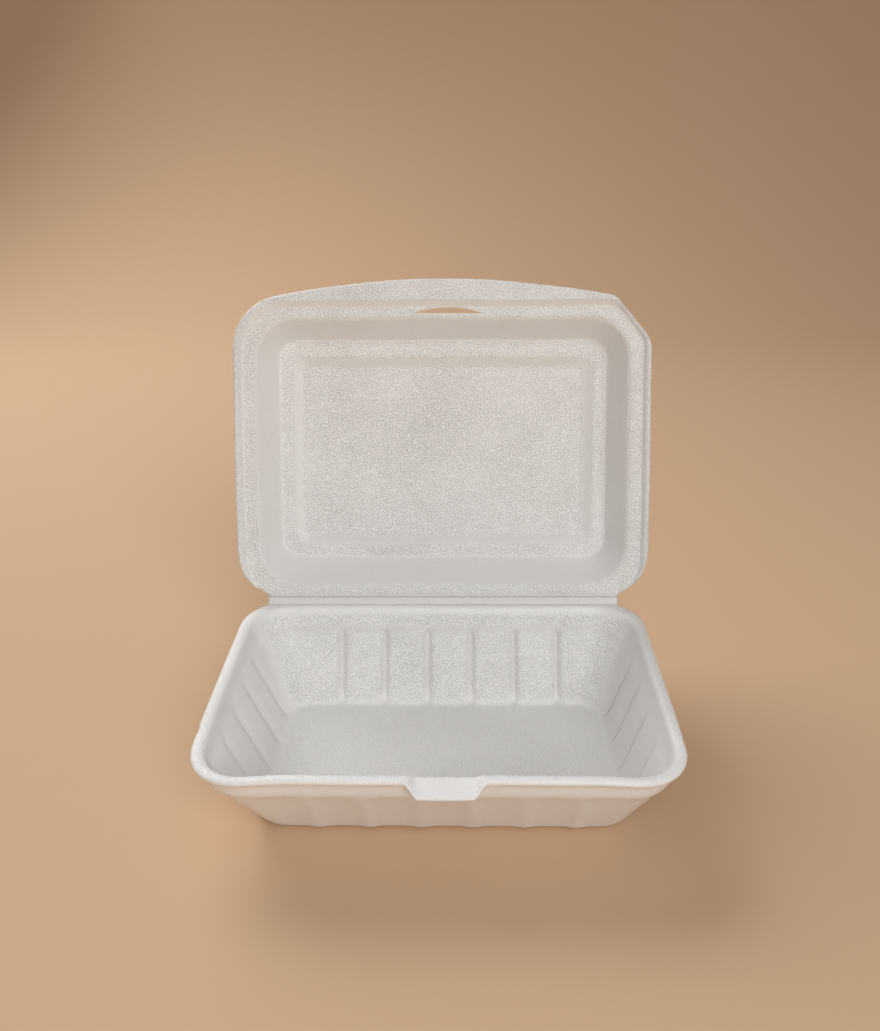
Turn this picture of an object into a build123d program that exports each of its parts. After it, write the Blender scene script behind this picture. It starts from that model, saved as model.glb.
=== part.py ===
from build123d import *
from math import cos, hypot, radians, sin, sqrt
import os

# Foam clamshell container standing open, in millimetres, +Z up, +Y towards the hinge.
# The origin is the centre of the tray's underside.

# Sheet and clearances
sheet = 2.7               # thickness of the tray's foam
lid_sheet = 1.6           # the same in the lid, the lighter half
fit_gap = 0.3             # height between the tray's rim and the lid's ledge when closed
step_gap = 0.4            # room between the rim's edge and the lid's step, sides and rear
front_step_gap = 0.8      # the same at the front

# Tray
tray_height = 42.5
rim_length = 180.0        # trimmed rim, left to right
rim_depth = 130.1         # trimmed rim, front to rear
rim_radius = 22.0
rim_shift_x = -1.5        # trimmed outline against the formed floor
rim_shift_y = -3.15
side_flange = 4.75        # flat of the rim at the sides
front_flange = 4.5
rear_flange = 3.3
opening_radius = 18.0
band_height = 8.7         # smooth band under the rim
band_run = 2.2
shelf_run = 1.2           # shelf where the ribbed wall starts
shelf_drop = 0.5
wall_run_x = 11.85        # slope of the ribbed walls from shelf to floor, mean of left and right
wall_run_y = 18.3         # the same, mean of front and rear
floor_radius = 11.0
floor_fillet = 4.0        # inside, where the wall turns into the floor
foot_round = 3.5          # outside, round the underside
rim_round = 2.2           # inside edge of the opening
edge_round = 1.2          # trimmed edge of the rim

# Ribs pushed out of the tray's walls
long_ribs = 6              # centred on the latch
long_rib_margin = 21.25   # from the floor's end to the first rib
short_ribs = 4
short_rib_margin = 10.2
rib_height = 1.2          # outside, proud of the wall
groove_radius = 1.8       # inside, about the rib's axis
rib_axis_depth = 0.2      # of that axis behind the wall's inner face

# Latch: a tongue on the tray's rim and a slot in the lid
latch_x = 1.5
tongue_width = 21.0       # flat bottom of the scoop
tongue_root_width = 28.4
tongue_length = 9.5       # along its slope, from the opening's edge
tongue_slope = 22.0       # degrees below level
tongue_drop = 1.4         # of the scoop below the rim, at the opening's edge
tongue_flare = 1.1        # sideways run of the scoop's flanks for each mm of height
tongue_corner = 5.0
slot_length = 28.3
slot_width = 2.4
slot_setback = 0.3        # of the slot from the lid's step

# Hinge
hinge_inset = 9.5         # of the strip's ends from the rim's sides
hinge_half = 2.5          # from the fold line to each flange
strip_thickness = 1.2     # foam pressed thin along the fold
strip_land = 0.8          # flat part of the strip before each crease
strip_end_gap = 0.02
open_angle = 106.5        # degrees from closed

# Lid, sizes taken closed
lip_overhang = 3.8        # past the rim's sides
lip_front = 13.0          # past the rim's front edge, at the middle of the bow
lip_bow_radius = 385.0
lip_corner = 24.0
lip_cut_x = 16.3          # cut front right corner
lip_cut_y = 15.5
lip_cut_round_front = 5.0
lip_cut_round_side = 13.0
step_height = 3.5         # lip below the ledge
step_run = 1.2
front_step_run = 2.6
step_cut_x = 12.0         # cut corner at the top of the step
step_cut_y = 14.6
step_cut_round = 7.0
ledge_side = 5.8          # from the rim's outline in to the lid's wall
ledge_front = 4.2
ledge_rear = 5.1          # from the flange's rear edge
wall_corner = 18.0
lid_depth = 20.0          # ledge to ceiling, inside
wall_run_side = 7.7
wall_run_front = 8.5
wall_run_rear = 10.1
ceiling_corner = 9.5
ceiling_border_side = 5.9     # border round the raised panel
ceiling_border_front = 7.7
ceiling_border_rear = 5.6
panel_foot_corner = 5.5
panel_corner = 3.5
panel_rise = 4.0
panel_run = 4.5
lid_fillet = 3.0          # ceiling edge, inside
ledge_round = 1.6         # where the lid's wall meets the ledge, inside
panel_round = 1.4

# Worked-out places
rim_half = rim_length / 2
rim_front = rim_shift_y - rim_depth / 2
rim_rear = rim_shift_y + rim_depth / 2
fold_y = rim_rear + hinge_half
fold_z = tray_height + fit_gap / 2
hinge_half_length = rim_half - hinge_inset
ledge_z = tray_height + fit_gap
lip_z = ledge_z - step_height
ceiling_z = ledge_z + lid_depth
panel_z = ceiling_z + panel_rise
opening_front = rim_front + front_flange
opening_rear = rim_rear - rear_flange
shelf_z = tray_height - band_height
floor_length = 2 * (rim_half - side_flange - band_run - shelf_run - wall_run_x)
floor_depth = opening_rear - opening_front - 2 * (band_run + shelf_run + wall_run_y)
long_rib_pitch = (floor_length - 2 * long_rib_margin) / (long_ribs - 1)
short_rib_pitch = (floor_depth - 2 * short_rib_margin) / (short_ribs - 1)
through = 4 * sheet       # overshoot of a cut past the face it leaves
snap = sheet / 4          # reach of a search for an edge


class Plan:
    """A rounded rectangle seen from above, by its four edges and corner radius."""

    def __init__(self, left, right, front, rear, radius):
        self.left = left
        self.right = right
        self.front = front
        self.rear = rear
        self.radius = radius

    def grown(self, side, front=None, rear=None):
        """The plan moved outwards by the given runs, with its corners kept concentric."""
        front = side if front is None else front
        rear = front if rear is None else rear
        return Plan(
            self.left - side,
            self.right + side,
            self.front - front,
            self.rear + rear,
            max(self.radius + min(side, front, rear), sheet),
        )

    def rounded(self, radius):
        """The plan with another corner radius."""
        return Plan(self.left, self.right, self.front, self.rear, radius)

    def holds(self, point):
        """Whether a point lies on or inside the plan."""
        dx = max(self.left + self.radius - point.X, point.X - self.right + self.radius, 0)
        dy = max(self.front + self.radius - point.Y, point.Y - self.rear + self.radius, 0)
        return hypot(dx, dy) < self.radius + snap

    def at(self, z):
        """The plan as a face at height z."""
        length = self.right - self.left
        depth = self.rear - self.front
        centre = Pos((self.left + self.right) / 2, (self.front + self.rear) / 2, z)
        return centre * RectangleRounded(length, depth, self.radius)


def wall_between(low, low_z, high, high_z):
    """Straight-sided solid between two plans."""
    return loft([low.at(low_z), high.at(high_z)], ruled=True)


def edges_within(shape, plan, z):
    """Edges of a shape that lie at height z, on or inside a plan."""
    level = shape.edges().filter_by(lambda e: abs(e.center().Z - z) < snap)
    return level.filter_by(lambda e: plan.holds(e.center()))


def rear_centre(half_length, radius):
    """Y of the rear corners' centres, where the outline meets the hinge's end."""
    reach = hinge_half_length - (half_length - radius)
    return rim_rear - sqrt(radius**2 - reach**2)


def skin(run, rise, thickness=sheet):
    """How far a sloping wall's far face stands out, seen one thickness further along its rise."""
    return thickness * (hypot(1, run / rise) - run / rise)


def in_front_of(y):
    """A large block on the front side of a plane across the part."""
    size = 4 * rim_length
    return Pos(0, y - size / 2, 0) * Box(size, size, size)


# Tray surfaces, inside
opening = Plan(
    rim_shift_x - rim_half + side_flange,
    rim_shift_x + rim_half - side_flange,
    opening_front,
    opening_rear,
    opening_radius,
)
band_foot = opening.grown(-band_run)
shelf_edge = band_foot.grown(-shelf_run)
floor = Plan(-floor_length / 2, floor_length / 2, -floor_depth / 2, floor_depth / 2, floor_radius)
shelf_low_z = shelf_z - shelf_drop
wall_drop = shelf_low_z - sheet
side_skin = skin(wall_run_x, wall_drop)
front_skin = skin(floor.front - shelf_edge.front, wall_drop)
rear_skin = skin(shelf_edge.rear - floor.rear, wall_drop)
band_skin = skin(band_run, band_height)
rib_radius = sheet + rib_height - rib_axis_depth
groove_depth = groove_radius + rib_axis_depth


def lower_wall(low, low_z, high, high_z, radius):
    """The ribbed part of the tray's wall as a block, rounded into its floor."""
    block = wall_between(low, low_z, high, high_z)
    return fillet(block.edges().group_by(Axis.Z)[0], radius)


def tray_cavity():
    """The space inside the tray, without its grooves."""
    lower = lower_wall(floor, sheet, shelf_edge, shelf_low_z, floor_fillet)
    shelf = wall_between(shelf_edge, shelf_low_z, band_foot, shelf_z)
    band = wall_between(band_foot, shelf_z, opening, tray_height)
    mouth = extrude(opening.at(tray_height), amount=through)
    return lower + [shelf, band, mouth]


def tray_body():
    """The tray as a block, without ribs and rim."""
    foot = floor.grown(side_skin, front_skin, rear_skin)
    top = shelf_edge.grown(side_skin, front_skin, rear_skin)
    lower = lower_wall(foot, 0, top, shelf_low_z - sheet, foot_round)
    band_low = band_foot.grown(band_skin)
    band = wall_between(band_low, shelf_z - sheet, opening.grown(band_skin), tray_height - sheet / 2)
    shelf = wall_between(top, shelf_low_z - sheet, band_low, shelf_z - sheet)
    return lower + [shelf, band]


def rib_bar(top, foot, radius):
    """Round bar down a wall, run on past the floor."""
    run = (foot - top).normalized()
    length = (foot - top).length + through
    return extrude(Plane(origin=top, z_dir=run) * Circle(radius), amount=length)


def rib_axis(along, across, shelf_reach, floor_reach):
    """Ends of a rib's axis, just behind the wall's inner face.

    along is the rib's place on the wall and across the unit vector out of the tray. The reaches
    are how far out the wall's shelf and foot lie.
    """
    up = Vector(0, 0, 1)
    fall = (across * (floor_reach - shelf_reach) - up * wall_drop).normalized()
    out = across * -fall.Z + up * fall.dot(across)
    start = along + across * shelf_reach + up * shelf_low_z + out * rib_axis_depth
    foot = along + across * floor_reach + up * sheet + out * rib_axis_depth
    return start + fall * groove_radius, foot


def rib_axes():
    """Upper and lower ends of all the ribs' axes."""
    axes = []
    for i in range(long_ribs):
        along = Vector(latch_x + (i - (long_ribs - 1) / 2) * long_rib_pitch, 0, 0)
        axes.append(rib_axis(along, Vector(0, -1, 0), -shelf_edge.front, -floor.front))
        axes.append(rib_axis(along, Vector(0, 1, 0), shelf_edge.rear, floor.rear))
    for i in range(short_ribs):
        along = Vector(0, (i - (short_ribs - 1) / 2) * short_rib_pitch, 0)
        axes.append(rib_axis(along, Vector(-1, 0, 0), -shelf_edge.left, -floor.left))
        axes.append(rib_axis(along, Vector(1, 0, 0), shelf_edge.right, floor.right))
    return axes


def ribs_outside():
    """Ribs standing proud of the tray's wall, rounded under with its foot."""
    foot = floor.grown(side_skin + rib_height, front_skin + rib_height, rear_skin + rib_height)
    top = shelf_edge.grown(side_skin + rib_height, front_skin + rib_height, rear_skin + rib_height)
    reach = lower_wall(foot, 0, top, shelf_low_z - sheet, foot_round)
    return [rib_bar(top, foot, rib_radius) & reach for top, foot in rib_axes()]


def grooves_inside():
    """Grooves behind the ribs, fading out round the turn into the floor."""
    foot = floor.grown(groove_depth)
    reach = lower_wall(foot, sheet, shelf_edge.grown(groove_depth), shelf_low_z, floor_fillet)
    grooves = []
    for top, foot in rib_axes():
        grooves.append((rib_bar(top, foot, groove_radius) + Pos(*top) * Sphere(groove_radius)) & reach)
    return grooves


def rim_outline():
    """Trimmed outline of the tray's rim, run on past its rear edge."""
    rear = rear_centre(rim_half, rim_radius) + rim_radius
    return Plan(rim_shift_x - rim_half, rim_shift_x + rim_half, rim_front, rear, rim_radius)


def rim_plate():
    """The tray's flat rim, with its trimmed edge rounded."""
    plate = extrude(rim_outline().at(tray_height - sheet), amount=sheet) & in_front_of(rim_rear)
    level = plate.edges().filter_by(lambda e: abs(e.tangent_at(0.5).Z) < 0.5)
    trimmed = level.filter_by(lambda e: e.center().Y < rim_rear - edge_round)
    return fillet(trimmed, edge_round)


def tongue_frame():
    """Plane across the tongue's root: X along the rim, Y square to the slope, Z down the slope."""
    slope = radians(tongue_slope)
    root = (latch_x, opening_front, tray_height - tongue_drop)
    return Plane(origin=root, x_dir=(1, 0, 0), z_dir=(0, -cos(slope), -sin(slope)))


def scoop_section(bottom, half_width, height):
    """Trapezium of the scoop, widening upwards from its bottom."""
    top = half_width + tongue_flare * (height - bottom)
    points = [(-half_width, bottom), (half_width, bottom), (top, height), (-top, height)]
    return make_face(Polyline(*points, close=True))


def tongue_scoop():
    """The space over the tongue, cut from the rim."""
    section = scoop_section(0, tongue_width / 2, through)
    return extrude(tongue_frame() * section, amount=tongue_length + through, both=True)


def tongue_body():
    """The tongue's sheet, trimmed to its outline seen from above."""
    half = tongue_width / 2
    section = scoop_section(-sheet, half, through)
    bar = extrude(tongue_frame() * section, amount=tongue_length)
    tip_y = opening_front - tongue_length * cos(radians(tongue_slope))
    root = tongue_root_width / 2
    corners = [
        (latch_x - root, opening_front),
        (latch_x - root, rim_front),
        (latch_x - half, tip_y),
        (latch_x + half, tip_y),
        (latch_x + root, rim_front),
        (latch_x + root, opening_front),
    ]
    radii = [0, 0, tongue_corner, tongue_corner, 0, 0]
    outline = make_face(FilletPolyline(*corners, radius=radii, close=True))
    return bar & extrude(outline, amount=tray_height)


def build_tray():
    """Tray with its rim, ribs and latch tongue."""
    solid = tray_body() + [rim_plate(), tongue_body(), *ribs_outside()]
    shell = solid - tray_cavity()
    shell = fillet(edges_within(shell, opening, tray_height), rim_round)
    return shell - [tongue_scoop(), *grooves_inside()]


# Lid surfaces, inside, taken closed
step_top = rim_outline().grown(step_gap, front_step_gap, step_gap)
step_low = step_top.grown(step_run, front_step_run, step_run)
wall_foot = Plan(
    rim_shift_x - rim_half + ledge_side,
    rim_shift_x + rim_half - ledge_side,
    rim_front + ledge_front,
    rim_rear - ledge_rear,
    wall_corner,
)
ceiling = wall_foot.grown(-wall_run_side, -wall_run_front, -wall_run_rear).rounded(ceiling_corner)
panel_foot = ceiling.grown(-ceiling_border_side, -ceiling_border_front, -ceiling_border_rear)
panel_foot = panel_foot.rounded(panel_foot_corner)
panel = panel_foot.grown(-panel_run).rounded(panel_corner)
cut_length = hypot(step_cut_x, step_cut_y)


def step_face(plan, side, front, z):
    """A plan of the lid's step with its front right corner cut off, as a face at height z.

    side and front are how far the plan lies outside the top of the step. The cut moves out with
    the side.
    """
    square_x = step_cut_y / cut_length
    square_y = step_cut_x / cut_length
    depth = step_cut_x * square_x + side * square_x + front * square_y - side
    cut_x = depth / square_x
    cut_y = depth / square_y
    corners = [
        (plan.left, plan.front),
        (plan.right - cut_x, plan.front),
        (plan.right, plan.front + cut_y),
        (plan.right, plan.rear),
        (plan.left, plan.rear),
    ]
    cut_round = step_cut_round + side
    radii = [plan.radius, cut_round, cut_round, plan.radius, plan.radius]
    return Pos(0, 0, z) * make_face(FilletPolyline(*corners, radius=radii, close=True))


def lip_outline():
    """Trimmed outline of the lid: bowed front, cut front right corner, run on past the rear edge."""
    half = rim_half + lip_overhang
    left = rim_shift_x - half
    right = rim_shift_x + half
    apex = rim_front - lip_front
    rear = rear_centre(half, lip_corner) + lip_corner

    def bow(x):
        return apex + lip_bow_radius - sqrt(lip_bow_radius**2 - (x - rim_shift_x) ** 2)

    cut_front = (right - lip_cut_x, bow(right - lip_cut_x))
    cut_side = (right, bow(right) + lip_cut_y)
    front = ThreePointArc((left, bow(left)), (rim_shift_x, apex), cut_front)
    sides = Polyline(cut_front, cut_side, (right, rear), (left, rear), (left, bow(left)))
    face = make_face([front, sides])
    rounds = [
        (front @ 0, lip_corner),
        (cut_front, lip_cut_round_front),
        (cut_side, lip_cut_round_side),
        ((right, rear), lip_corner),
        ((left, rear), lip_corner),
    ]
    for corner, radius in rounds:
        face = fillet(face.vertices().sort_by_distance(corner)[:1], radius)
    return face


def lid_cavity():
    """The space inside the closed lid, down to its lip."""
    low = step_face(step_low, step_run, front_step_run, lip_z)
    step = loft([low, step_face(step_top, 0, 0, ledge_z)], ruled=True)
    mouth = extrude(low, amount=-through)
    wall = wall_between(wall_foot, ledge_z, ceiling, ceiling_z)
    wall = fillet(wall.edges().group_by(Axis.Z)[-1], lid_fillet)
    raised = wall_between(panel_foot, ceiling_z, panel, panel_z)
    raised = fillet(raised.edges().group_by(Axis.Z)[-1], panel_round)
    space = step + [mouth, wall, raised]
    return fillet(edges_within(space, wall_foot, ledge_z), ledge_round)


def lid_body():
    """The closed lid as a block, before it is trimmed."""
    side = skin(wall_run_side, lid_depth, lid_sheet)
    front = skin(wall_run_front, lid_depth, lid_sheet)
    rear = skin(wall_run_rear, lid_depth, lid_sheet)
    rise = skin(panel_run, panel_rise, lid_sheet)
    low = step_face(step_low.grown(lid_sheet), step_run + lid_sheet, front_step_run + lid_sheet, lip_z)
    high = step_face(step_top.grown(lid_sheet), lid_sheet, lid_sheet, ledge_z + lid_sheet)
    step = loft([low, high], ruled=True)
    foot = wall_foot.grown(side, front, rear)
    top = ceiling.grown(side, front, rear)
    wall = wall_between(foot, ledge_z + lid_sheet, top, ceiling_z + lid_sheet)
    wall = fillet(wall.edges().group_by(Axis.Z)[-1], lid_fillet + lid_sheet / 2)
    base = extrude(foot.at(ledge_z + lid_sheet), amount=-lid_sheet / 2)
    panel_low = panel_foot.grown(rise)
    raised = wall_between(panel_low, ceiling_z + lid_sheet, panel.grown(rise), panel_z + lid_sheet)
    raised = fillet(raised.edges().group_by(Axis.Z)[-1], panel_round + lid_sheet / 2)
    lip = extrude(step_low.grown(2 * lip_front).at(lip_z), amount=lid_sheet)
    return lip + [step, base, wall, raised]


def latch_slot():
    """Lens-shaped slot through the ledge, beside the step."""
    outer = step_top.front + slot_setback
    inner = outer + slot_width
    half = slot_length / 2
    ends = ((latch_x - half, inner), (latch_x + half, inner))
    arc = ThreePointArc(ends[0], (latch_x, outer), ends[1])
    face = make_face([arc, Line(*ends)])
    return extrude(Pos(0, 0, ledge_z - through / 2) * face, amount=through)


def build_lid():
    """Lid formed, trimmed, slotted and turned open about the fold."""
    formed = lid_body() - lid_cavity()
    outline = Pos(0, 0, lip_z - sheet) * lip_outline()
    trimmed = formed & extrude(outline, amount=panel_z) & in_front_of(rim_rear)
    return open_up(trimmed - latch_slot())


def open_up(shape):
    """A shape taken closed, turned about the fold line to the standing angle."""
    return shape.rotate(Axis((0, fold_y, fold_z), (-1, 0, 0)), open_angle)


def build_hinge_strip():
    """Pressed strip between the two flanges, with a crease beside each."""
    low_z = tray_height - (sheet + strip_thickness) / 2
    high_z = ledge_z + (lid_sheet + strip_thickness) / 2
    turn = radians(open_angle)

    def opened(y, z):
        dy = y - fold_y
        dz = z - fold_z
        return (fold_y + dy * cos(turn) + dz * sin(turn), fold_z - dy * sin(turn) + dz * cos(turn))

    end_y = rim_rear + strip_end_gap
    line = [
        (rim_rear, low_z),
        (rim_rear + strip_land, low_z),
        opened(end_y + strip_land, high_z),
        opened(end_y, high_z),
    ]
    section = make_face(offset(Polyline(*line), strip_thickness, side=Side.LEFT, closed=True))
    end = Plane.YZ.offset(rim_shift_x - hinge_half_length)
    return extrude(end * section, amount=2 * hinge_half_length)


tray = build_tray()
lid = build_lid()
hinge_strip = build_hinge_strip()

os.makedirs("parts", exist_ok=True)
export_step(tray, "parts/tray.step")
export_step(lid, "parts/lid.step")
export_step(hinge_strip, "parts/hinge_strip.step")
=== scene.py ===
import logging
from dataclasses import dataclass, field
from enum import Enum
from math import cos, pi, radians, sin
from typing import Any, Union

import bpy
import numpy as np
from mathutils import Matrix, Vector


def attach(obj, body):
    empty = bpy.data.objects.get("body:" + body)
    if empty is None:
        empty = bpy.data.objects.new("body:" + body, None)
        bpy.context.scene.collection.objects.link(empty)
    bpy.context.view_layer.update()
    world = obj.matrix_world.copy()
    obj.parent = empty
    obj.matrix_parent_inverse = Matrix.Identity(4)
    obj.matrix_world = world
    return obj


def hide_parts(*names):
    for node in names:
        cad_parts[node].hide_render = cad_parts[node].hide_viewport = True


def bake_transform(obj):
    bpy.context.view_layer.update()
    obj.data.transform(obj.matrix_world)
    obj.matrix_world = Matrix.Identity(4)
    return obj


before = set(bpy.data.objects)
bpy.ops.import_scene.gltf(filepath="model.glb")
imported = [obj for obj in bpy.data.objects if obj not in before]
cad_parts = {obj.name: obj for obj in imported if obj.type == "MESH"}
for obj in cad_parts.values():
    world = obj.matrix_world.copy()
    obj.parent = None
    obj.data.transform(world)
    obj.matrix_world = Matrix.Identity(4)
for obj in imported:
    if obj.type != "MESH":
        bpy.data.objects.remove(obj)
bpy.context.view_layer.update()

LOG = logging.getLogger("foam_box")
MM = 0.001
PICTURE = (880, 1031)
# Sockets of a Mix node that mixes colours.
MIX_FIRST, MIX_SECOND, MIX_RESULT = 6, 7, 2

Colour = tuple[float, float, float]
Rgba = tuple[float, float, float, float]
Point = tuple[float, float, float]


class Node(Enum):
    """Nodes of the frame that are dressed here."""

    TRAY = "tray"
    LID = "lid"
    STRIP = "hinge_strip"


class Body(Enum):
    """Bodies of the frame that pieces move with."""

    TRAY = "tray"
    LID = "lid"


class Slot(Enum):
    """Material slots of the record."""

    FOAM = "foam"
    FOLD = "fold"


class Mark(Enum):
    """Values stored at a piece's points for its material."""

    GRAIN = "grain"
    PAINTED_CREASE_SHADE = "painted_crease_shade"
    PAINTED_FOLD_LINES = "painted_fold_lines"
    LIE = "lie"


@dataclass(frozen=True)
class Rise:
    """A rise from 0 at one value to 1 at another, with level ends."""

    low: float
    high: float

    def up(self, values: np.ndarray) -> np.ndarray:
        """How far each value has come up the rise, from 0 to 1."""
        t = np.clip((values - self.low) / (self.high - self.low), 0.0, 1.0)
        return t * t * (3.0 - 2.0 * t)

    def down(self, values: np.ndarray) -> np.ndarray:
        """How far each value is from the top of the rise, from 1 to 0."""
        return 1.0 - self.up(values)


def coordinates(mesh: bpy.types.Mesh) -> np.ndarray:
    """Places of a mesh's points.

    Args:
        mesh: Mesh to read.

    Returns:
        Places, one row each.
    """
    points = np.empty(3 * len(mesh.vertices))
    mesh.vertices.foreach_get("co", points)
    return points.reshape(-1, 3)


def directions(mesh: bpy.types.Mesh) -> np.ndarray:
    """Outward directions at a mesh's points.

    Args:
        mesh: Mesh to read.

    Returns:
        Directions of length 1, one row each.
    """
    normals = np.empty(3 * len(mesh.vertices), dtype=np.float32)
    mesh.vertex_normals.foreach_get("vector", normals)
    return normals.reshape(-1, 3)


def store(mesh: bpy.types.Mesh, mark: Mark, values: np.ndarray) -> None:
    """Store a number or a vector at each point of a mesh.

    Args:
        mesh: Mesh to mark.
        mark: What the values say.
        values: One number or one row of three for each point.
    """
    kind, part = ("FLOAT_VECTOR", "vector") if values.ndim == 2 else ("FLOAT", "value")
    made = mesh.attributes.new(mark.value, kind, "POINT")
    made.data.foreach_set(part, values.astype(np.float32).ravel())


def placed(name: str, mesh: bpy.types.Mesh) -> bpy.types.Object:
    """Show a mesh in the scene.

    Args:
        name: Name of the new object.
        mesh: Mesh that it shows.

    Returns:
        The new object.
    """
    made = bpy.data.objects.new(name, mesh)
    bpy.context.scene.collection.objects.link(made)
    return made


def triangles(mesh: bpy.types.Mesh) -> int:
    """Number of triangles that a mesh's faces come to."""
    return sum(len(face.vertices) - 2 for face in mesh.polygons)


def linear(colour: Colour) -> Rgba:
    """Turn a display colour into a scene-linear one.

    Args:
        colour: Red, green and blue from 0 to 255.

    Returns:
        Scene-linear RGBA.
    """
    parts = [c / 255.0 for c in colour]
    lin = [c / 12.92 if c <= 0.04045 else ((c + 0.055) / 1.055) ** 2.4 for c in parts]
    return (lin[0], lin[1], lin[2], 1.0)


class Value:
    """A shader socket that takes part in Python expressions."""

    def __init__(self, graph: "Graph", socket: bpy.types.NodeSocket) -> None:
        """Wrap one output socket of a graph."""
        self.graph = graph
        self.socket = socket

    def _math(self, operation: str, first: Any, second: Any) -> "Value":
        """Add a Math node.

        Args:
            operation: The node's operation.
            first: Value or number of the first input.
            second: Value or number of the second input.

        Returns:
            The node's result.
        """
        return self.graph.node("ShaderNodeMath", {"operation": operation}, {0: first, 1: second})

    def __add__(self, other: Union["Value", float]) -> "Value":
        """Sum of two values."""
        return self._math("ADD", self, other)

    def __radd__(self, other: float) -> "Value":
        """Sum with a number on the left."""
        return self._math("ADD", other, self)

    def __sub__(self, other: Union["Value", float]) -> "Value":
        """Difference of two values."""
        return self._math("SUBTRACT", self, other)

    def __rsub__(self, other: float) -> "Value":
        """Difference with a number on the left."""
        return self._math("SUBTRACT", other, self)

    def __mul__(self, other: Union["Value", float]) -> "Value":
        """Product of two values."""
        return self._math("MULTIPLY", self, other)

    def __rmul__(self, other: float) -> "Value":
        """Product with a number on the left."""
        return self._math("MULTIPLY", other, self)

    def __mod__(self, other: Union["Value", float]) -> "Value":
        """What is left of a value after whole steps of another."""
        return self._math("FLOORED_MODULO", self, other)

    def __rmod__(self, other: float) -> "Value":
        """What is left of a number after whole steps of the value."""
        return self._math("FLOORED_MODULO", other, self)

    def __abs__(self) -> "Value":
        """Size of a value without its sign."""
        return self._math("ABSOLUTE", self, 0.0)


class Graph:
    """The node tree of one material."""

    def __init__(self, material: bpy.types.Material) -> None:
        """Start an empty tree for a material.

        Args:
            material: Material whose nodes are replaced.
        """
        material.use_nodes = True
        self.tree = material.node_tree
        self.tree.nodes.clear()

    def node(
        self, kind: str, settings: dict[str, Any], inputs: dict[Any, Any], out: Any = 0
    ) -> Value:
        """Add a node, set it up and feed it.

        Args:
            kind: Type name of the node.
            settings: Properties of the node, set before its sockets. "stops" sets a ramp.
            inputs: Values, links or constants by socket name or number.
            out: Name or number of the output socket to return.

        Returns:
            The chosen output.
        """
        made = self.tree.nodes.new(kind)
        for key, value in settings.items():
            if key == "stops":
                self._ramp(made.color_ramp, value)
            else:
                setattr(made, key, value)
        for key, value in inputs.items():
            if isinstance(value, Value):
                self.tree.links.new(value.socket, made.inputs[key])
            else:
                made.inputs[key].default_value = value
        return Value(self, made.outputs[out] if len(made.outputs) else made.inputs[0])

    def marked(self, mark: Mark, out: str = "Fac") -> Value:
        """The value stored at the piece's points under a mark."""
        return self.node("ShaderNodeAttribute", {"attribute_name": mark.value}, {}, out)

    def mixed(self, share: Value, first: Any, second: Any) -> Value:
        """Mix two colours.

        Args:
            share: Share of the second colour.
            first: Value or RGBA of the first colour.
            second: Value or RGBA of the second colour.

        Returns:
            The mixed colour.
        """
        inputs = {"Factor": share, MIX_FIRST: first, MIX_SECOND: second}
        return self.node("ShaderNodeMix", {"data_type": "RGBA"}, inputs, MIX_RESULT)

    @staticmethod
    def _ramp(ramp: bpy.types.ColorRamp, stops: list[tuple[float, float]]) -> None:
        """Set a ramp's stops.

        Args:
            ramp: Ramp to set.
            stops: Place and grey level of each stop.
        """
        while len(ramp.elements) < len(stops):
            ramp.elements.new(1.0)
        for element, (place, level) in zip(ramp.elements, stops):
            element.position = place
            element.color = (level, level, level, 1.0)


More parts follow.
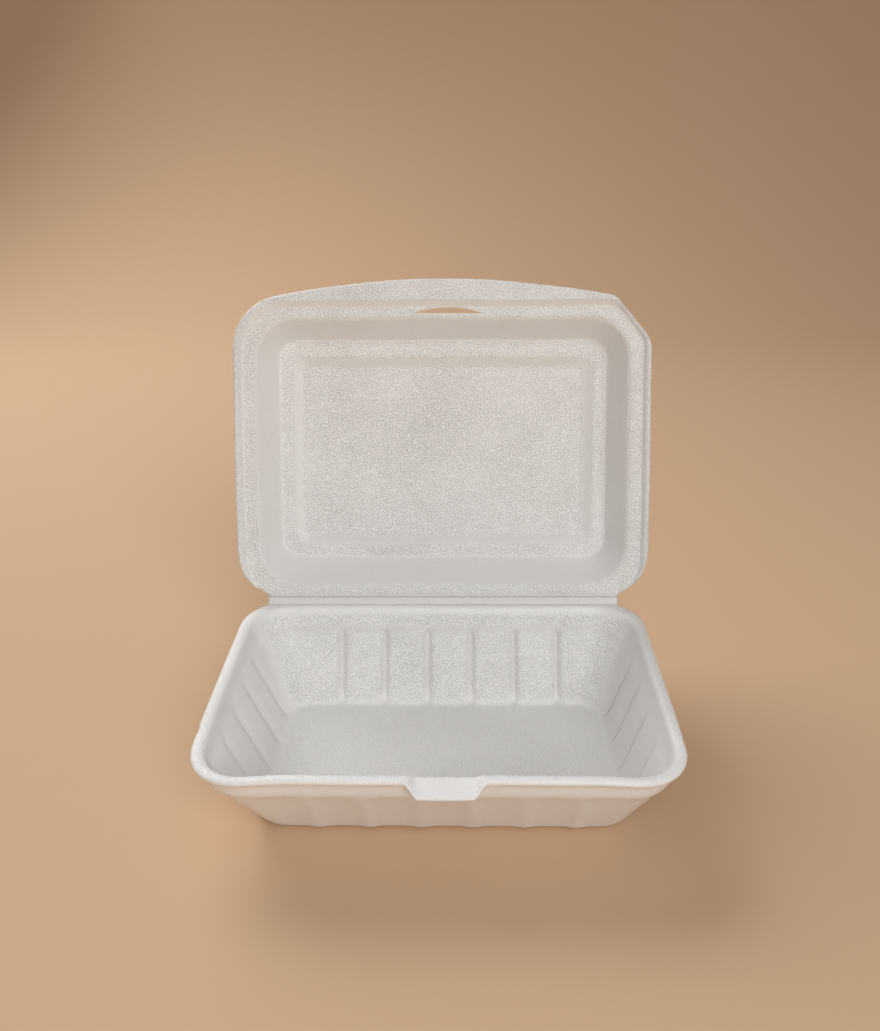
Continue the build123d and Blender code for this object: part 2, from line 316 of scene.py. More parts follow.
@dataclass(frozen=True)
class FoamFinish:
    """Formed polystyrene foam: soft white, with beads showing where the sheet isn't stretched,
    painted shade in the hollows between the bead ridges, and painted shade in grooves, along fold
    lines and on slopes where a piece marks it.
    """

    name: str
    colour: Colour = (247, 246, 244)
    # Painted shade in the hollows between the bead ridges; also the even tone of the smooth skin
    # and of the random blotches.
    shade_and_tone_colour: Colour = (221, 219, 216)
    # Colour of the painted shade in grooves, along fold lines and on slopes.
    painted_crease_shade: Colour = (176, 170, 164)
    worm: float = 1.32 * MM
    worm_kernel: float = 0.8
    worm_waves: float = 1.25
    worm_edge: tuple[float, float] = (0.36, 0.62)
    blotch: float = 26 * MM
    blotch_detail: float = 2.0
    grain_least: float = 0.6
    grain_swing: float = 0.8
    # Strength of the painted shade in the hollows between the bead ridges.
    hollow_shade: float = 0.75
    skin_shade: float = 0.34
    blotch_shade: float = 0.08
    # Spacing, width and wander of the thin lines of painted shade across the sheet.
    line_pitch: float = 19.5 * MM
    line_half: float = 1.0 * MM
    line_wander: float = 2.0 * MM
    line_shade: float = 0.85
    relief: float = 0.36 * MM
    roughness: float = 0.40
    roughness_swing: float = 0.10
    specular: float = 0.45
    glow: float = 0.22
    glow_reach: float = 2.5 * MM
    glow_radius: Colour = (1.0, 0.92, 0.84)

    def material(self) -> bpy.types.Material:
        """Make the material.

        Returns:
            The finished material.
        """
        made = bpy.data.materials.new(self.name)
        graph = Graph(made)
        place = graph.node("ShaderNodeTexCoord", {}, {}, "Object")
        grain = graph.marked(Mark.GRAIN)
        ridge = self.ridges(graph)
        slow = graph.node(
            "ShaderNodeTexNoise",
            {},
            {"Vector": place, "Scale": 1.0 / self.blotch, "Detail": self.blotch_detail},
            "Fac",
        )
        skin = 1.0 - grain
        grain = grain * (self.grain_least + self.grain_swing * slow)
        # Painted shade in the hollows between the bead ridges, plus the even tone of the smooth
        # skin and the random blotch tone.
        shade = self.hollow_shade * (1.0 - ridge) * grain
        shade = shade + self.skin_shade * skin + self.blotch_shade * slow
        colour = graph.mixed(shade, linear(self.colour), linear(self.shade_and_tone_colour))
        # Painted shade in grooves, along fold lines and on slopes, from the values a piece stores
        # and from the thin painted lines across the sheet.
        crease_shade_share = graph.marked(Mark.PAINTED_CREASE_SHADE) + self.painted_cross_lines(graph, place, slow)
        colour = graph.mixed(crease_shade_share, colour, linear(self.painted_crease_shade))
        bump = graph.node(
            "ShaderNodeBump",
            {},
            {"Strength": 1.0, "Distance": self.relief, "Height": ridge * grain},
            "Normal",
        )
        shader = graph.node(
            "ShaderNodeBsdfPrincipled",
            {},
            {
                "Base Color": colour,
                "Roughness": self.roughness + self.roughness_swing * (slow - 0.5),
                "Normal": bump,
                "Subsurface Weight": self.glow,
                "Subsurface Radius": self.glow_radius,
                "Subsurface Scale": self.glow_reach,
                "Specular IOR Level": self.specular,
            },
        )
        graph.node("ShaderNodeOutputMaterial", {}, {"Surface": shader})
        return made

    def ridges(self, graph: Graph) -> Value:
        """Worm-like ridges of the pressed beads.

        Args:
            graph: Tree to add to.

        Returns:
            1 on a ridge and 0 between ridges.
        """
        worms = graph.node(
            "ShaderNodeTexGabor",
            {"gabor_type": "2D"},
            {
                "Vector": graph.marked(Mark.LIE, "Vector"),
                "Scale": self.worm_kernel / self.worm,
                "Frequency": self.worm_waves,
                "Anisotropy": 0.0,
            },
            "Value",
        )
        low, high = self.worm_edge
        stops = [(low, 0.0), (high, 1.0)]
        return graph.node("ShaderNodeValToRGB", {"stops": stops}, {"Fac": worms})

    def painted_cross_lines(self, graph: Graph, place: Value, slow: Value) -> Value:
        """Thin lines of painted shade across the sheet, evenly spaced, where the piece marks them.

        Args:
            graph: Tree to add to.
            place: Place on the piece.
            slow: Slow variation, which bends the lines a little.

        Returns:
            Strength of the painted shade of the lines.
        """
        across = graph.node("ShaderNodeSeparateXYZ", {}, {0: place}, "Y") + self.line_wander * slow
        line = graph.node(
            "ShaderNodeMapRange",
            {"interpolation_type": "SMOOTHSTEP"},
            {
                "Value": abs(across * (1.0 / self.line_pitch) % 1.0 - 0.5),
                "From Min": 0.0,
                "From Max": self.line_half / self.line_pitch,
                "To Min": 1.0,
                "To Max": 0.0,
            },
        )
        return self.line_shade * line * graph.marked(Mark.PAINTED_FOLD_LINES)


@dataclass(frozen=True)
class FloorFinish:
    """Plain pale warm paper under and behind the box."""

    name: str
    colour: Colour = (208, 175, 141)
    roughness: float = 0.9

    def material(self) -> bpy.types.Material:
        """Make the material.

        Returns:
            The finished material.
        """
        made = bpy.data.materials.new(self.name)
        graph = Graph(made)
        shader = graph.node(
            "ShaderNodeBsdfPrincipled",
            {},
            {"Base Color": linear(self.colour), "Roughness": self.roughness},
        )
        graph.node("ShaderNodeOutputMaterial", {}, {"Surface": shader})
        return made


@dataclass
class Sway:
    """A slow, even wander of the formed sheet, the same for both of its faces."""

    seed: int
    reach: float = 0.16 * MM
    shortest: float = 34 * MM
    longest: float = 95 * MM
    waves: int = 7

    def offsets(self, points: np.ndarray) -> np.ndarray:
        """Offset of each point.

        Args:
            points: Places, one row each.

        Returns:
            Offsets, one row each.
        """
        rng = np.random.default_rng(self.seed)
        total = np.zeros_like(points)
        for _ in range(self.waves):
            run = rng.normal(size=3)
            run *= 2.0 * pi / (np.linalg.norm(run) * rng.uniform(self.shortest, self.longest))
            push = rng.normal(size=3)
            total += np.sin(points @ run + rng.uniform(0.0, 2.0 * pi))[:, None] * push
        return total * (self.reach / self.waves**0.5)


@dataclass(frozen=True)
class Hinge:
    """The fold line that the lid is turned open about."""

    y: float = 64.4 * MM
    z: float = 42.65 * MM
    opened: float = radians(106.5)

    def turned(self, y: float, z: float) -> tuple[float, float]:
        """Turn a place on the closed lid open about the fold.

        Args:
            y: Place towards the rear, with the lid closed.
            z: Height, with the lid closed.

        Returns:
            Y and Z of the place with the lid open.
        """
        dy = y - self.y
        dz = z - self.z
        c = cos(self.opened)
        s = sin(self.opened)
        return (self.y + dy * c + dz * s, self.z - dy * s + dz * c)


@dataclass
class FoamShell:
    """A formed foam piece: the frame's solid with the soft edges and slight wander of foam."""

    node: Node
    body: Body
    finish: FoamFinish
    wander: Sway
    voxel: float = 0.8 * MM
    easing: int = 36
    evenly: float = 0.10
    most_triangles: int = 190000
    sharp: float = radians(55)
    facing: Rise = Rise(-0.1, 0.1)

    def build(self) -> bpy.types.Object:
        """Make the softened copy of the solid.

        Returns:
            The piece, dressed and riding on its body.
        """
        mesh = self.evened()
        self.soften(mesh)
        mesh = self.pierced(mesh)
        mesh = self.thinned(mesh)
        self.shape(mesh)
        piece = placed(f"{self.node.value}_foam", mesh)
        self.dress(piece)
        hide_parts(self.node.value)
        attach(piece, self.body.value)
        return piece

    @staticmethod
    def settled(rough: bpy.types.Object) -> bpy.types.Mesh:
        """Apply an object's modifiers and remove it.

        Args:
            rough: Object with modifiers.

        Returns:
            A new mesh with the modifiers applied.
        """
        view = bpy.context.evaluated_depsgraph_get()
        mesh = bpy.data.meshes.new_from_object(rough.evaluated_get(view))
        bpy.data.objects.remove(rough)
        return mesh

    def evened(self) -> bpy.types.Mesh:
        """The solid's surface in small even faces.

        Returns:
            A new mesh, close on the frame's solid.
        """
        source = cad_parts[self.node.value]
        rough = placed("rough", source.data.copy())
        remesh = rough.modifiers.new("even_faces", "REMESH")
        remesh.mode = "VOXEL"
        remesh.voxel_size = self.voxel
        wrap = rough.modifiers.new("keep_form", "SHRINKWRAP")
        wrap.target = source
        return self.settled(rough)

    def soften(self, mesh: bpy.types.Mesh) -> None:
        """Round the mesh off, each point as far as its softness lets it.

        Args:
            mesh: Mesh of the piece, changed in place.
        """
        points = coordinates(mesh)
        count = len(points)
        ends = np.empty(2 * len(mesh.edges), dtype=np.int32)
        mesh.edges.foreach_get("vertices", ends)
        ends = ends.reshape(-1, 2)
        start = np.concatenate([ends[:, 0], ends[:, 1]])
        stop = np.concatenate([ends[:, 1], ends[:, 0]])
        around = np.bincount(start, minlength=count)[:, None]
        give = self.softness(points, directions(mesh))[:, None]
        for _ in range(self.easing):
            total = [np.bincount(start, weights=points[stop, i], minlength=count) for i in range(3)]
            points += give * (np.stack(total, axis=1) / around - points)
        mesh.vertices.foreach_set("co", points.ravel())
        mesh.update()

    def pierced(self, mesh: bpy.types.Mesh) -> bpy.types.Mesh:
        """The mesh with the piece's narrow openings cut through it.

        Args:
            mesh: Mesh of the piece.

        Returns:
            A new mesh.
        """
        rough = placed("rough", mesh)
        tools = self.cutters()
        for tool in tools:
            cut = rough.modifiers.new("cut", "BOOLEAN")
            cut.object = tool
            cut.operation = "DIFFERENCE"
        done = self.settled(rough)
        for tool in tools:
            bpy.data.objects.remove(tool)
        return done

    def thinned(self, mesh: bpy.types.Mesh) -> bpy.types.Mesh:
        """The mesh with fewer faces, first on its flats.

        Args:
            mesh: Mesh of the piece.

        Returns:
            A new mesh, or the same one if it has few faces already.
        """
        count = triangles(mesh)
        if count <= self.most_triangles:
            return mesh
        rough = placed("rough", mesh)
        rough.modifiers.new("fewer_faces", "DECIMATE").ratio = self.most_triangles / count
        return self.settled(rough)

    def shape(self, mesh: bpy.types.Mesh) -> None:
        """Move the mesh's points as the foam has warped, and mark them for the material.

        Args:
            mesh: Mesh of the piece, changed in place.
        """
        points = coordinates(mesh)
        normals = directions(mesh)
        marks = {
            Mark.GRAIN: self.grain(points, normals),
            Mark.PAINTED_CREASE_SHADE: self.painted_shade(points, normals),
            Mark.PAINTED_FOLD_LINES: self.painted_fold_lines(points, normals),
            Mark.LIE: self.lie(points),
        }
        points = points + self.warp(points)
        mesh.vertices.foreach_set("co", points.ravel())
        for mark, values in marks.items():
            store(mesh, mark, values)
        mesh.shade_smooth()
        mesh.set_sharp_from_angle(angle=self.sharp)
        mesh.update()

    def cutters(self) -> list[bpy.types.Object]:
        """Solids to cut from the softened piece, so that narrow openings keep their edges."""
        return []

    def softness(self, points: np.ndarray, normals: np.ndarray) -> np.ndarray:
        """How far each point is rounded off.

        Args:
            points: Places at rest, one row each.
            normals: Outward directions, one row each.

        Returns:
            Share of the way to its neighbours that a point goes at each pass.
        """
        return np.full(len(points), self.evenly)

    def warp(self, points: np.ndarray) -> np.ndarray:
        """Offsets of the piece's points.

        Args:
            points: Places at rest, one row each.

        Returns:
            Offsets, one row each.
        """
        return self.wander.offsets(points)

    def grain(self, points: np.ndarray, normals: np.ndarray) -> np.ndarray:
        """How clearly the beads show at each point.

        Args:
            points: Places at rest, one row each.
            normals: Outward directions, one row each.

        Returns:
            Numbers from 0 to 1.
        """
        return np.ones(len(points))

    def painted_shade(self, points: np.ndarray, normals: np.ndarray) -> np.ndarray:
        """How strong the painted shade is at each point.

        Args:
            points: Places at rest, one row each.
            normals: Outward directions, one row each.

        Returns:
            Numbers from 0 to 1.
        """
        return np.zeros(len(points))

    def painted_fold_lines(self, points: np.ndarray, normals: np.ndarray) -> np.ndarray:
        """How strongly the thin lines of painted shade across the sheet show at each point.

        Args:
            points: Places at rest, one row each.
            normals: Outward directions, one row each.

        Returns:
            Numbers from 0 to 1.
        """
        return np.zeros(len(points))

    def lie(self, points: np.ndarray) -> np.ndarray:
        """Places of the points on the flat sheet, so that the grain isn't stretched.

        Args:
            points: Places at rest, one row each.

        Returns:
            Places on the flat sheet, one row each, with a third number of 0.
        """
        return np.stack([points[:, 0], self.run(points), np.zeros(len(points))], axis=1)

    def run(self, points: np.ndarray) -> np.ndarray:
        """How far along the sheet each point lies, from the front towards the rear."""
        return points[:, 1]

    def dress(self, piece: bpy.types.Object) -> None:
        """Give the piece its finish."""
        piece.data.materials.clear()
        piece.data.materials.append(self.finish.material())


@dataclass
class Tray(FoamShell):
    """Ribbed tray with a flat rim that hangs a little at its front corners."""

    rim_z: float = 42.5 * MM
    shelf_z: float = 33.3 * MM
    floor_half: float = 39.4 * MM
    slope_stretch: float = 0.57

    outer_soft: float = 0.35
    outer_softer: float = 0.55
    outer_band: Rise = Rise(22 * MM, 28 * MM)
    outer_rim: Rise = Rise(38 * MM, 40 * MM)
    inner_soft: float = 0.06
    inner_shelf: Rise = Rise(shelf_z - 5 * MM, shelf_z - 2 * MM)
    end_soft: float = 0.75
    end_from: Rise = Rise(66 * MM, 71 * MM)
    end_across: Rise = Rise(40 * MM, 47 * MM)
    end_top: Rise = Rise(shelf_z + 1 * MM, shelf_z + 4 * MM)

    groove_x: float = 1.5 * MM
    groove_pitch: float = 19.5 * MM
    groove_last: float = 2.5
    groove_half: float = 1.9 * MM
    # Strength of the painted shade in the grooves and along the shelf.
    groove_shade: float = 0.28
    groove_top: Rise = Rise(31 * MM, 34 * MM)
    groove_foot: Rise = Rise(4 * MM, 10 * MM)
    groove_facing: Rise = Rise(0.3, 0.6)
    shelf_drop: float = 0.6 * MM
    shelf_half: float = 1.3 * MM

    grain_facing: Rise = Rise(0.30, 0.72)
    grain_foot: Rise = Rise(2 * MM, 6 * MM)
    grain_top: Rise = Rise(38 * MM, 41 * MM)
    grain_level: Rise = Rise(0.9, 0.99)
    level_grain: float = 0.5
    drawn_loss: float = 0.75
    least_grain: float = 0.15

    # Where the thin lines of painted shade run down the end walls.
    fold_facing: Rise = Rise(0.0, 0.2)
    fold_foot: Rise = Rise(3 * MM, 7 * MM)
    fold_top: Rise = Rise(26 * MM, 33 * MM)
    fold_front: Rise = Rise(-36 * MM, -26 * MM)
    left_folds: float = 0.35

    wander_from: Rise = Rise(3 * MM, 20 * MM)
    hang: float = 1.9 * MM
    hang_from: float = 38 * MM
    hang_height: Rise = Rise(12 * MM, rim_z)
    corner: tuple[float, float] = (88 * MM, -64 * MM)
    nick_at: Point = (-91.5 * MM, -36.7 * MM, 42.0 * MM)
    nick_reach: float = 1.9 * MM
    nick_fade: float = 2.0
    nick_depth: float = 0.9 * MM

    def softness(self, points: np.ndarray, normals: np.ndarray) -> np.ndarray:
        """The outside and the end walls are softest, and the rim and the inner shelf keep more.

        Args:
            points: Places at rest, one row each.
            normals: Outward directions, one row each.

        Returns:
            Share of the way to its neighbours that a point goes at each pass.
        """
        height = points[:, 2]
        outside = self.outer_soft + self.outer_softer * self.outer_band.up(height)
        outside = outside * self.outer_rim.down(height)
        inside = self.inner_soft * self.inner_shelf.down(height) + self.end_soft * self.ends(points)
        inner = self.facing.up(normals[:, 2])
        return np.maximum(self.evenly, inner * inside + (1.0 - inner) * outside)

    def ends(self, points: np.ndarray) -> np.ndarray:
        """Where the end walls are, below the band under the rim.

        Args:
            points: Places at rest, one row each.

        Returns:
            Numbers from 0 to 1.
        """
        beyond = self.end_from.up(np.abs(points[:, 0]))
        between = self.end_across.down(np.abs(points[:, 1]))
        return beyond * between * self.end_top.down(points[:, 2])

    def run(self, points: np.ndarray) -> np.ndarray:
        """Over the floor and up the slopes of the front and rear walls."""
        lift = self.slope_stretch * points[:, 2]
        return points[:, 1] + lift * np.clip(points[:, 1] / self.floor_half, -1.0, 1.0)

    def warp(self, points: np.ndarray) -> np.ndarray:
        """Wander above the floor, hanging front corners and a nick in the rim's left edge.

        Args:
            points: Places at rest, one row each.

        Returns:
            Offsets, one row each.
        """
        moved = self.wander.offsets(points) * self.wander_from.up(points[:, 2])[:, None]
        high = self.hang_height.up(points[:, 2])
        for side in (-1.0, 1.0):
            away = np.hypot(points[:, 0] - side * self.corner[0], points[:, 1] - self.corner[1])
            near = Rise(0.0, self.hang_from).down(away)
            moved[:, 2] -= self.hang * near * high
        off = np.linalg.norm(points - np.array(self.nick_at), axis=1)
        close = np.exp(-((off / self.nick_reach) ** 2) * self.nick_fade)
        moved[:, 0] += self.nick_depth * close
        return moved

    def grain(self, points: np.ndarray, normals: np.ndarray) -> np.ndarray:
        """Beads show on the front and rear walls, less on level places and hardly elsewhere.

        Args:
            points: Places at rest, one row each.
            normals: Outward directions, one row each.

        Returns:
            Numbers from 0 to 1.
        """
        inward = self.grain_facing.up(-normals[:, 1] * np.sign(points[:, 1]))
        wall = self.grain_foot.up(points[:, 2]) * self.grain_top.down(points[:, 2])
        flat = self.grain_level.up(np.abs(normals[:, 2])) * self.level_grain
        plain = 1.0 - self.drawn_loss * self.drawn(points)
        return np.clip(np.maximum(inward * wall * plain, flat), self.least_grain, 1.0)

    def painted_fold_lines(self, points: np.ndarray, normals: np.ndarray) -> np.ndarray:
        """Thin lines of painted shade run down the inside of the end walls, clearest on the right.

        Args:
            points: Places at rest, one row each.
            normals: Outward directions, one row each.

        Returns:
            Numbers from 0 to 1.
        """
        inner = self.fold_facing.up(-normals[:, 0] * np.sign(points[:, 0]))
        length = self.fold_foot.up(points[:, 2]) * self.fold_top.down(points[:, 2])
        side = np.where(points[:, 0] > 0.0, 1.0, self.left_folds)
        return self.ends(points) * inner * length * side * self.fold_front.up(points[:, 1])

    def painted_shade(self, points: np.ndarray, normals: np.ndarray) -> np.ndarray:
        """Painted shade in the grooves and along the shelf, inside the front and rear walls.

        Args:
            points: Places at rest, one row each.
            normals: Outward directions, one row each.

        Returns:
            Numbers from 0 to 1.
        """
        inward = self.groove_facing.up(-normals[:, 1] * np.sign(points[:, 1]))
        low = self.groove_foot.up(points[:, 2])
        return self.groove_shade * self.drawn(points) * inward * low

    def drawn(self, points: np.ndarray) -> np.ndarray:
        """How far the foam was drawn thin, in the grooves and along the shelf.

        Args:
            points: Places at rest, one row each.

        Returns:
            Numbers from 0 to 1.
        """
        step = (points[:, 0] - self.groove_x) / self.groove_pitch
        middle = np.clip(np.round(step - 0.5) + 0.5, -self.groove_last, self.groove_last)
        near = np.abs(step - middle) * self.groove_pitch
        groove = np.exp(-((near / self.groove_half) ** 2)) * self.groove_top.down(points[:, 2])
        above = points[:, 2] - self.shelf_z + self.shelf_drop
        return np.maximum(groove, np.exp(-((above / self.shelf_half) ** 2)))


@dataclass
class Lid(FoamShell):
    """Formed lid, standing open."""

    hinge: Hinge = Hinge()
    centre_x: float = -1.5 * MM

    edge_keeps: float = 0.65
    front_edge: Rise = Rise(131 * MM, 134 * MM)
    fold_edge: Rise = Rise(3 * MM, 6 * MM)
    side_edge: Rise = Rise(85 * MM, 89 * MM)
    wander_from: Rise = Rise(4 * MM, 24 * MM)

    panel: Point = (63 * MM, 68 * MM, 42 * MM)
    panel_fade: Rise = Rise(0.0, 3 * MM)
    # Strength of the painted shade on the slopes round the raised panel.
    slope_shade: float = 0.14
    slope_from: Rise = Rise(0.3, 0.5)
    slope_to: Rise = Rise(0.85, 0.97)

    grain_level: Rise = Rise(0.72, 0.95)
    outer_loss: float = 0.4
    least_grain: float = 0.18

    slot_x: float = 1.5 * MM
    slot_half: float = 15.3 * MM
    slot_outer: float = -68.7 * MM
    slot_inner: float = -66.3 * MM
    slot_low: float = 40.0 * MM
    slot_high: float = 48.0 * MM
    slot_steps: int = 32
    slot_round: Rise = Rise(2 * MM, 5 * MM)
    slot_beside: Rise = Rise(0.0, 3 * MM)

    @property
    def lean(self) -> float:
        """Angle of the open lid back from upright."""
        return self.hinge.opened - pi / 2

    def cutters(self) -> list[bpy.types.Object]:
        """The lens-shaped latch slot, as a prism through the open lid.

        Returns:
            The prism alone.
        """
        bow = self.slot_outer - self.slot_inner
        outline = []
        for i in range(self.slot_steps + 1):
            t = 2.0 * i / self.slot_steps - 1.0
            y = self.slot_inner + bow * (1.0 - t * t)
            outline.append((self.slot_x + t * self.slot_half, y))
        count = len(outline)
        points = []
        for level in (self.slot_low, self.slot_high):
            points += [(x, *self.hinge.turned(y, level)) for x, y in outline]
        faces = [tuple(reversed(range(count))), tuple(range(count, 2 * count))]
        for i in range(count):
            j = (i + 1) % count
            faces.append((i, j, j + count, i + count))
        mesh = bpy.data.meshes.new("slot")
        mesh.from_pydata(points, [], faces)
        return [placed("slot", mesh)]

    def softness(self, points: np.ndarray, normals: np.ndarray) -> np.ndarray:
        """Even, apart from the cut edges of the lip and the latch slot, which keep their form.

        Args:
            points: Places at rest, one row each.
            normals: Outward directions, one row each.

        Returns:
            Share of the way to its neighbours that a point goes at each pass.
        """
        middle = (self.slot_outer + self.slot_inner) / 2
        y, z = self.hinge.turned(middle, (self.slot_low + self.slot_high) / 2)
        away = np.hypot(points[:, 1] - y, points[:, 2] - z)
        beside = np.abs(points[:, 0] - self.slot_x) - self.slot_half
        near = self.slot_round.down(away) * self.slot_beside.down(beside)
        run = self.run(points)
        edge = np.maximum(self.front_edge.up(run), self.fold_edge.down(run))
        edge = np.maximum(edge, self.side_edge.up(np.abs(points[:, 0] - self.centre_x)))
        return self.evenly * (1.0 - self.edge_keeps * edge) * (1.0 - near)

    def warp(self, points: np.ndarray) -> np.ndarray:
        """Wander that dies away at the fold."""
        return self.wander.offsets(points) * self.wander_from.up(self.run(points))[:, None]

    def run(self, points: np.ndarray) -> np.ndarray:
        """Up the open lid from the fold."""
        along = (points[:, 1] - self.hinge.y) * sin(self.lean)
        return along + (points[:, 2] - self.hinge.z) * cos(self.lean)

    def painted_shade(self, points: np.ndarray, normals: np.ndarray) -> np.ndarray:
        """Painted shade on the slopes round the raised panel, inside.

        Args:
            points: Places at rest, one row each.
            normals: Outward directions, one row each.

        Returns:
            Numbers from 0 to 1.
        """
        depth = normals[:, 2] * sin(self.lean) - normals[:, 1] * cos(self.lean)
        sloped = self.slope_from.up(depth) * self.slope_to.down(depth)
        half_width, middle, half_height = self.panel
        aside = np.abs(points[:, 0] - self.centre_x) - half_width
        beyond = np.maximum(aside, np.abs(self.run(points) - middle) - half_height)
        return self.slope_shade * sloped * self.panel_fade.down(beyond)

    def grain(self, points: np.ndarray, normals: np.ndarray) -> np.ndarray:
        """Beads show on the level flats and fade on the drawn walls and the outside.

        Args:
            points: Places at rest, one row each.
            normals: Outward directions, one row each.

        Returns:
            Numbers from 0 to 1.
        """
        depth = normals[:, 1] * cos(self.lean) - normals[:, 2] * sin(self.lean)
        level = self.grain_level.up(np.abs(depth))
        shown = level * (1.0 - self.outer_loss * self.facing.up(depth))
        return np.clip(shown, self.least_grain, 1.0)


@dataclass
class Fold:
    """Pressed strip between the flanges, pinched along each side, with painted shade along both
    pinches.
    """

    finish: FoamFinish
    hinge: Hinge = Hinge()
    rear: float = 61.9 * MM
    tray_mid: float = 41.55 * MM
    lid_mid: float = 43.6 * MM
    land: float = 0.8 * MM
    tuck: float = 0.9 * MM
    half_length: float = 80.5 * MM
    centre_x: float = -1.5 * MM
    thickness: float = 1.25 * MM
    crease_depth: float = 0.5
    crease_width: float = 0.45 * MM
    # Strength of the painted shade along the pinch next to the tray and the one next to the lid.
    tray_line: float = 0.15
    lid_line: float = 0.75
    grain: float = 0.3
    across: int = 31
    along: int = 120
    ease: float = 0.5 * MM
    ease_steps: int = 9

    def section(self) -> tuple[np.ndarray, np.ndarray, np.ndarray]:
        """Middle line of the strip, its half thickness and the strength of the painted shade along
        its two pinches.

        Returns:
            Points in Y and Z, half thicknesses, and numbers from 0 to 1.
        """
        corners = np.array(
            [
                (self.rear - self.tuck, self.tray_mid),
                (self.rear + self.land, self.tray_mid),
                self.hinge.turned(self.rear + self.land, self.lid_mid),
                self.hinge.turned(self.rear - self.tuck, self.lid_mid),
            ]
        )
        lengths = np.linalg.norm(np.diff(corners, axis=0), axis=1)
        runs = np.concatenate([[0.0], np.cumsum(lengths)])
        places = np.linspace(0.0, runs[-1], self.across)
        line = np.zeros((self.across, 2))
        for shift in np.linspace(-self.ease, self.ease, self.ease_steps):
            at = np.clip(places + shift, 0.0, runs[-1])
            step = np.stack([np.interp(at, runs, corners[:, i]) for i in range(2)], axis=1)
            line += step / self.ease_steps
        near_tray, near_lid = (
            np.exp(-(((places - runs[i]) / self.crease_width) ** 2)) for i in (1, 2)
        )
        half = self.thickness / 2.0 * (1.0 - self.crease_depth * (near_tray + near_lid))
        return line, half, self.tray_line * near_tray + self.lid_line * near_lid

    def build(self) -> bpy.types.Object:
        """Make the strip as a closed mesh.

        Returns:
            The piece, dressed, shaped round from the tray's flange to the lid's.
        """
        line, half, dark = self.section()
        way = np.gradient(line, axis=0)
        way /= np.linalg.norm(way, axis=1)[:, None]
        out = np.stack([-way[:, 1], way[:, 0]], axis=1)
        loop = np.concatenate([line + out * half[:, None], (line - out * half[:, None])[::-1]])
        xs = np.linspace(-self.half_length, self.half_length, self.along) + self.centre_x
        points = [(x, y, z) for x in xs for y, z in loop]
        mesh = bpy.data.meshes.new("fold_strip")
        mesh.from_pydata(points, [], self.faces(len(loop)))
        mesh.validate()
        mesh.shade_smooth()
        piece = placed("fold_strip", mesh)
        self.dress(piece, np.tile(np.concatenate([dark, dark[::-1]]), self.along))
        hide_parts(Node.STRIP.value)
        end = (0.0, *self.hinge.turned(self.rear, self.lid_mid))
        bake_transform(piece)
        return piece

    def faces(self, ring: int) -> list[tuple[int, int, int, int]]:
        """Faces round the strip and over its two ends.

        Args:
            ring: Number of points round the strip.

        Returns:
            Numbers of each face's points.
        """
        made = []
        for i in range(self.along - 1):
            for j in range(ring):
                k = (j + 1) % ring
                made.append((i * ring + j, i * ring + k, (i + 1) * ring + k, (i + 1) * ring + j))
        last = (self.along - 1) * ring
        for j in range(self.across - 1):
            a, b, c, d = j, j + 1, ring - 2 - j, ring - 1 - j
            made.append((d, c, b, a))
            made.append((last + a, last + b, last + c, last + d))
        return made

    def dress(self, piece: bpy.types.Object, dark: np.ndarray) -> None:
        """Give the strip its pressed finish.

        Args:
            piece: The strip.
            dark: Strength of the painted shade along the two pinches, at each point.
        """
        mesh = piece.data
        store(mesh, Mark.PAINTED_CREASE_SHADE, dark)
        store(mesh, Mark.GRAIN, np.full(len(mesh.vertices), self.grain))
        store(mesh, Mark.LIE, coordinates(mesh) * (1.0, 1.0, 0.0))
        mesh.materials.append(self.finish.material())


@dataclass(frozen=True)
class Lamp:
    """A soft square lamp: its place in metres, power in watts, side and spread of light."""

    name: str
    at: Point
    power: float
    size: float
    spread: float = pi

    def build(self, aim: Point) -> None:
        """Add the lamp to the scene.

        Args:
            aim: Place that it points at.
        """
        data = bpy.data.lights.new(self.name, "AREA")
        data.energy = self.power
        data.size = self.size
        data.spread = self.spread
        made = bpy.data.objects.new(self.name, data)
        made.location = self.at
        made.rotation_mode = "QUATERNION"
        made.rotation_quaternion = (Vector(aim) - Vector(self.at)).to_track_quat("-Z", "Y")
        bpy.context.scene.collection.objects.link(made)


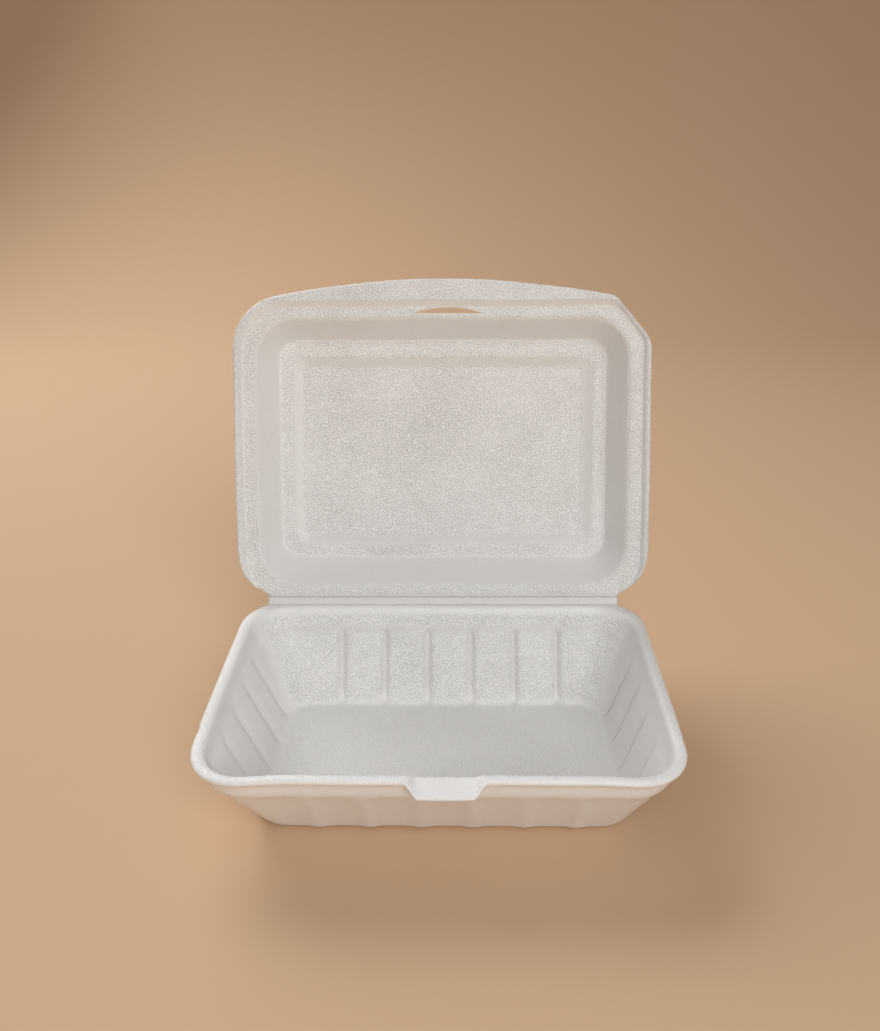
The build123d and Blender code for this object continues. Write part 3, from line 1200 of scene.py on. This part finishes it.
@dataclass
class Studio:
    """Floor, lamps and camera."""

    paper: FloorFinish = field(default_factory=lambda: FloorFinish("warm_paper"))
    front: float = -4.0
    back: float = 0.75
    half_width: float = 4.0
    bend: float = 0.55
    height: float = 1.7
    bend_steps: int = 24
    aim: Point = (0.0, 0.02, 0.07)
    lamps: tuple[Lamp, ...] = (
        Lamp("key", (-0.62, 0.80, 0.90), 7.1, 0.9, radians(140)),
        Lamp("low_fill", (0.36, -1.20, 0.48), 1.1, 0.6),
        Lamp("high_fill", (0.30, -1.15, 0.85), 10.2, 0.8),
        Lamp("top", (0.0, -0.30, 1.20), 0.4, 0.8),
    )
    sky: float = 0.215
    sky_colour: Rgba = (1.0, 0.98, 0.965, 1.0)
    focal_px: float = 1026.433
    camera_at: Point = (6.773 * MM, -356.76 * MM, 262.98 * MM)
    pitch: float = radians(22.856)
    yaw: float = radians(-1.233)
    roll: float = radians(0.572)
    sensor: float = 36.0

    def build(self) -> None:
        """Set the stage."""
        bpy.context.scene.view_settings.view_transform = "Standard"
        self.floor()
        self.lights()
        self.camera()

    def floor(self) -> None:
        """Make the floor and the backdrop it sweeps up into."""
        line = [(self.front, 0.0), (self.back, 0.0)]
        for i in range(1, self.bend_steps + 1):
            a = pi / 2 * i / self.bend_steps
            line.append((self.back + self.bend * sin(a), self.bend * (1.0 - cos(a))))
        line.append((self.back + self.bend, self.height))
        points = [(side * self.half_width, y, z) for y, z in line for side in (-1, 1)]
        faces = [(2 * i, 2 * i + 1, 2 * i + 3, 2 * i + 2) for i in range(len(line) - 1)]
        mesh = bpy.data.meshes.new("floor")
        mesh.from_pydata(points, [], faces)
        mesh.shade_smooth()
        mesh.materials.append(self.paper.material())
        made = placed("floor", mesh)

    def lights(self) -> None:
        """Add the lamps and the even light of the room."""
        for lamp in self.lamps:
            lamp.build(self.aim)
        world = bpy.data.worlds.new("room")
        world.use_nodes = True
        back = world.node_tree.nodes["Background"]
        back.inputs["Color"].default_value = self.sky_colour
        back.inputs["Strength"].default_value = self.sky
        bpy.context.scene.world = world

    def camera(self) -> None:
        """Add the camera at the picture's viewpoint."""
        level = cos(self.pitch)
        forward = Vector((sin(self.yaw) * level, cos(self.yaw) * level, -sin(self.pitch)))
        right = Vector((cos(self.yaw), -sin(self.yaw), 0.0))
        down = forward.cross(right)
        side = right * cos(self.roll) + down * sin(self.roll)
        low = down * cos(self.roll) - right * sin(self.roll)
        data = bpy.data.cameras.new("camera")
        data.sensor_width = self.sensor
        data.lens = self.sensor * self.focal_px / max(PICTURE)
        made = bpy.data.objects.new("camera", data)
        turn = Matrix((side, -low, -forward)).transposed()
        made.matrix_world = Matrix.Translation(self.camera_at) @ turn.to_4x4()
        bpy.context.scene.collection.objects.link(made)
        bpy.context.scene.camera = made


def main() -> None:
    """Build the box and its studio."""
    logging.basicConfig(level=logging.INFO, format="%(message)s")
    foam = FoamFinish("formed_foam")
    pressed = FoamFinish("pressed_foam", colour=(242, 240, 237), roughness=0.5)
    Studio().build()
    pieces = [
        Tray(Node.TRAY, Body.TRAY, foam, Sway(seed=11)).build(),
        Lid(Node.LID, Body.LID, foam, Sway(seed=23)).build(),
        Fold(pressed).build(),
    ]
    for piece in pieces:
        LOG.info("%s: %d triangles", piece.name, triangles(piece.data))


if __name__ == "__main__":
    main()
